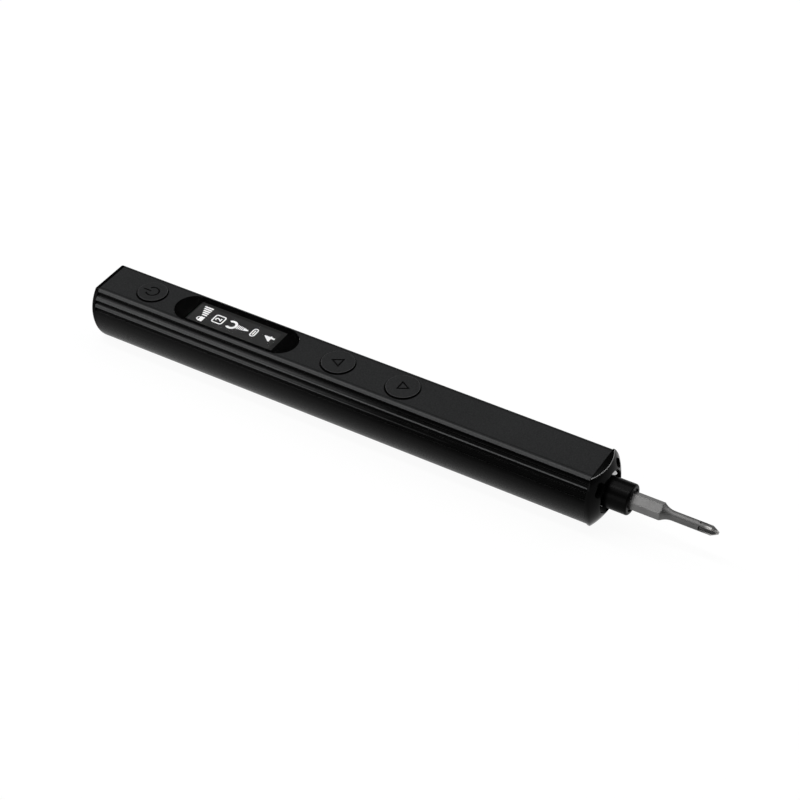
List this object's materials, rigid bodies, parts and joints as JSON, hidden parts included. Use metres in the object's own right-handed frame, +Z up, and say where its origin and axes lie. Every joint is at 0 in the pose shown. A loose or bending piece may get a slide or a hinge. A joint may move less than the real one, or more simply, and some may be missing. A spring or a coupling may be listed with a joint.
{
  "type": "electric torque screwdriver",
  "caption": "Pen-style cordless electric screwdriver with a flat top, display window, round buttons, planetary drive and a hex-shank driver bit.",
  "frame": {"origin": "centre of the belly flat, halfway along the body, on the plane the tool lies on", "axes": "+X along the spindle towards the bit's tip, +Z up out of the flat top with the display"},
  "size_m": [0.1747, 0.0174, 0.017],
  "materials": {
    "tube_black": "black anodised, fine bead-blast",
    "cap_black": "black, satin moulded",
    "button_black": "black, fine matt",
    "window_glass": "tinted, flush, glossy",
    "screen": "dark display panel",
    "board_green": "solder-masked laminate",
    "frame_plastic": "moulded nylon",
    "switch_black": "small moulded switch body",
    "plunger_white": "switch plunger",
    "plated_shell": "nickel-plated sheet",
    "cell_wrap": "shrink-wrapped steel can",
    "nickel": "nickel strip",
    "motor_steel": "drawn steel can",
    "bell_white": "moulded end bell",
    "magnet_grey": "sintered magnet",
    "laminations": "stacked steel laminations",
    "copper": "copper segments",
    "gear_steel": "sintered steel gears",
    "brass_cover": "machined brass",
    "spindle_steel": "turned steel",
    "sleeve_black": "blackened, smooth satin",
    "bronze": "sintered bronze",
    "light_pipe": "clear moulded light pipe",
    "led_white": "light-emitting chip",
    "bit_steel": "satin turned tool steel"
  },
  "bodies": {
    "casing": {"body_tube": "tube_black", "nose_cap": "cap_black", "rear_cap": "cap_black", "display_window": "window_glass", "display_panel": "screen", "display_carrier": "frame_plastic", "main_board": "board_green", "usb_socket": "plated_shell", "tact_switches": "switch_black", "board_tray": "frame_plastic", "battery_cell": "cell_wrap", "cell_tabs": "nickel", "drive_cradle": "frame_plastic", "motor_can": "motor_steel", "motor_end_bell": "bell_white", "motor_terminals": "nickel", "motor_magnets": "magnet_grey", "ring_gear": "gear_steel", "gearbox_cover": "brass_cover", "spindle_bush": "bronze", "led_board": "board_green", "leds": "led_white", "led_lenses": "light_pipe"},
    "power_key": {"power_button": "button_black", "power_plunger": "plunger_white"},
    "reverse_key": {"reverse_button": "button_black", "reverse_plunger": "plunger_white"},
    "forward_key": {"forward_button": "button_black", "forward_plunger": "plunger_white"},
    "rotor": {"motor_shaft": "spindle_steel", "motor_armature": "laminations", "motor_commutator": "copper", "motor_pinion": "gear_steel"},
    "first_carrier": {"stage_1_carrier": "gear_steel", "stage_1_pins": "spindle_steel", "stage_2_sun": "gear_steel"},
    "output_spindle": {"output_carrier": "gear_steel", "output_pins": "spindle_steel", "spindle": "spindle_steel", "spindle_clip": "spindle_steel", "chuck_sleeve": "sleeve_black", "socket_magnet": "plated_shell"},
    "driver_bit": {"bit": "bit_steel"},
    "stage_1_planet_1_gear": {"stage_1_planet_1": "gear_steel"},
    "stage_2_planet_1_gear": {"stage_2_planet_1": "gear_steel"},
    "stage_1_planet_2_gear": {"stage_1_planet_2": "gear_steel"},
    "stage_2_planet_2_gear": {"stage_2_planet_2": "gear_steel"},
    "stage_1_planet_3_gear": {"stage_1_planet_3": "gear_steel"},
    "stage_2_planet_3_gear": {"stage_2_planet_3": "gear_steel"}
  },
  "joints": [
    {"name": "spindle_spin", "type": "hinge", "parent": "casing", "child": "output_spindle", "pos_m": [0, 0, 0.0088], "axis": [1, 0, 0], "continuous": true},
    {"name": "first_carrier_spin", "type": "hinge", "parent": "casing", "child": "first_carrier", "pos_m": [0, 0, 0.0088], "axis": [1, 0, 0], "continuous": true},
    {"name": "rotor_spin", "type": "hinge", "parent": "casing", "child": "rotor", "pos_m": [0, 0, 0.0088], "axis": [1, 0, 0], "continuous": true},
    {"name": "stage_1_planet_1_spin", "type": "hinge", "parent": "first_carrier", "child": "stage_1_planet_1_gear", "pos_m": [0, 0.003, 0.0088], "axis": [1, 0, 0], "continuous": true},
    {"name": "stage_2_planet_1_spin", "type": "hinge", "parent": "output_spindle", "child": "stage_2_planet_1_gear", "pos_m": [0, 0.003, 0.0088], "axis": [1, 0, 0], "continuous": true},
    {"name": "stage_1_planet_2_spin", "type": "hinge", "parent": "first_carrier", "child": "stage_1_planet_2_gear", "pos_m": [0, -0.0015, 0.0114], "axis": [1, 0, 0], "continuous": true},
    {"name": "stage_2_planet_2_spin", "type": "hinge", "parent": "output_spindle", "child": "stage_2_planet_2_gear", "pos_m": [0, -0.0015, 0.0114], "axis": [1, 0, 0], "continuous": true},
    {"name": "stage_1_planet_3_spin", "type": "hinge", "parent": "first_carrier", "child": "stage_1_planet_3_gear", "pos_m": [0, -0.0015, 0.0062], "axis": [1, 0, 0], "continuous": true},
    {"name": "stage_2_planet_3_spin", "type": "hinge", "parent": "output_spindle", "child": "stage_2_planet_3_gear", "pos_m": [0, -0.0015, 0.0062], "axis": [1, 0, 0], "continuous": true},
    {"name": "bit_pull", "type": "slide", "parent": "output_spindle", "child": "driver_bit", "axis": [1, 0, 0], "range_m": [0, 0.0061]},
    {"name": "power_press", "type": "slide", "parent": "casing", "child": "power_key", "axis": [0, 0, -1], "range_m": [0, 0.00025], "stiffness_N_per_m": 4000},
    {"name": "reverse_press", "type": "slide", "parent": "casing", "child": "reverse_key", "axis": [0, 0, -1], "range_m": [0, 0.00025], "stiffness_N_per_m": 4000},
    {"name": "forward_press", "type": "slide", "parent": "casing", "child": "forward_key", "axis": [0, 0, -1], "range_m": [0, 0.00025], "stiffness_N_per_m": 4000}
  ],
  "couplings": [
    {"joint": "first_carrier_spin", "follows": "spindle_spin", "ratio": 4},
    {"joint": "rotor_spin", "follows": "spindle_spin", "ratio": 16},
    {"joint": "stage_1_planet_1_spin", "follows": "spindle_spin", "ratio": -12},
    {"joint": "stage_2_planet_1_spin", "follows": "spindle_spin", "ratio": -3},
    {"joint": "stage_1_planet_2_spin", "follows": "spindle_spin", "ratio": -12},
    {"joint": "stage_2_planet_2_spin", "follows": "spindle_spin", "ratio": -3},
    {"joint": "stage_1_planet_3_spin", "follows": "spindle_spin", "ratio": -12},
    {"joint": "stage_2_planet_3_spin", "follows": "spindle_spin", "ratio": -3}
  ]
}
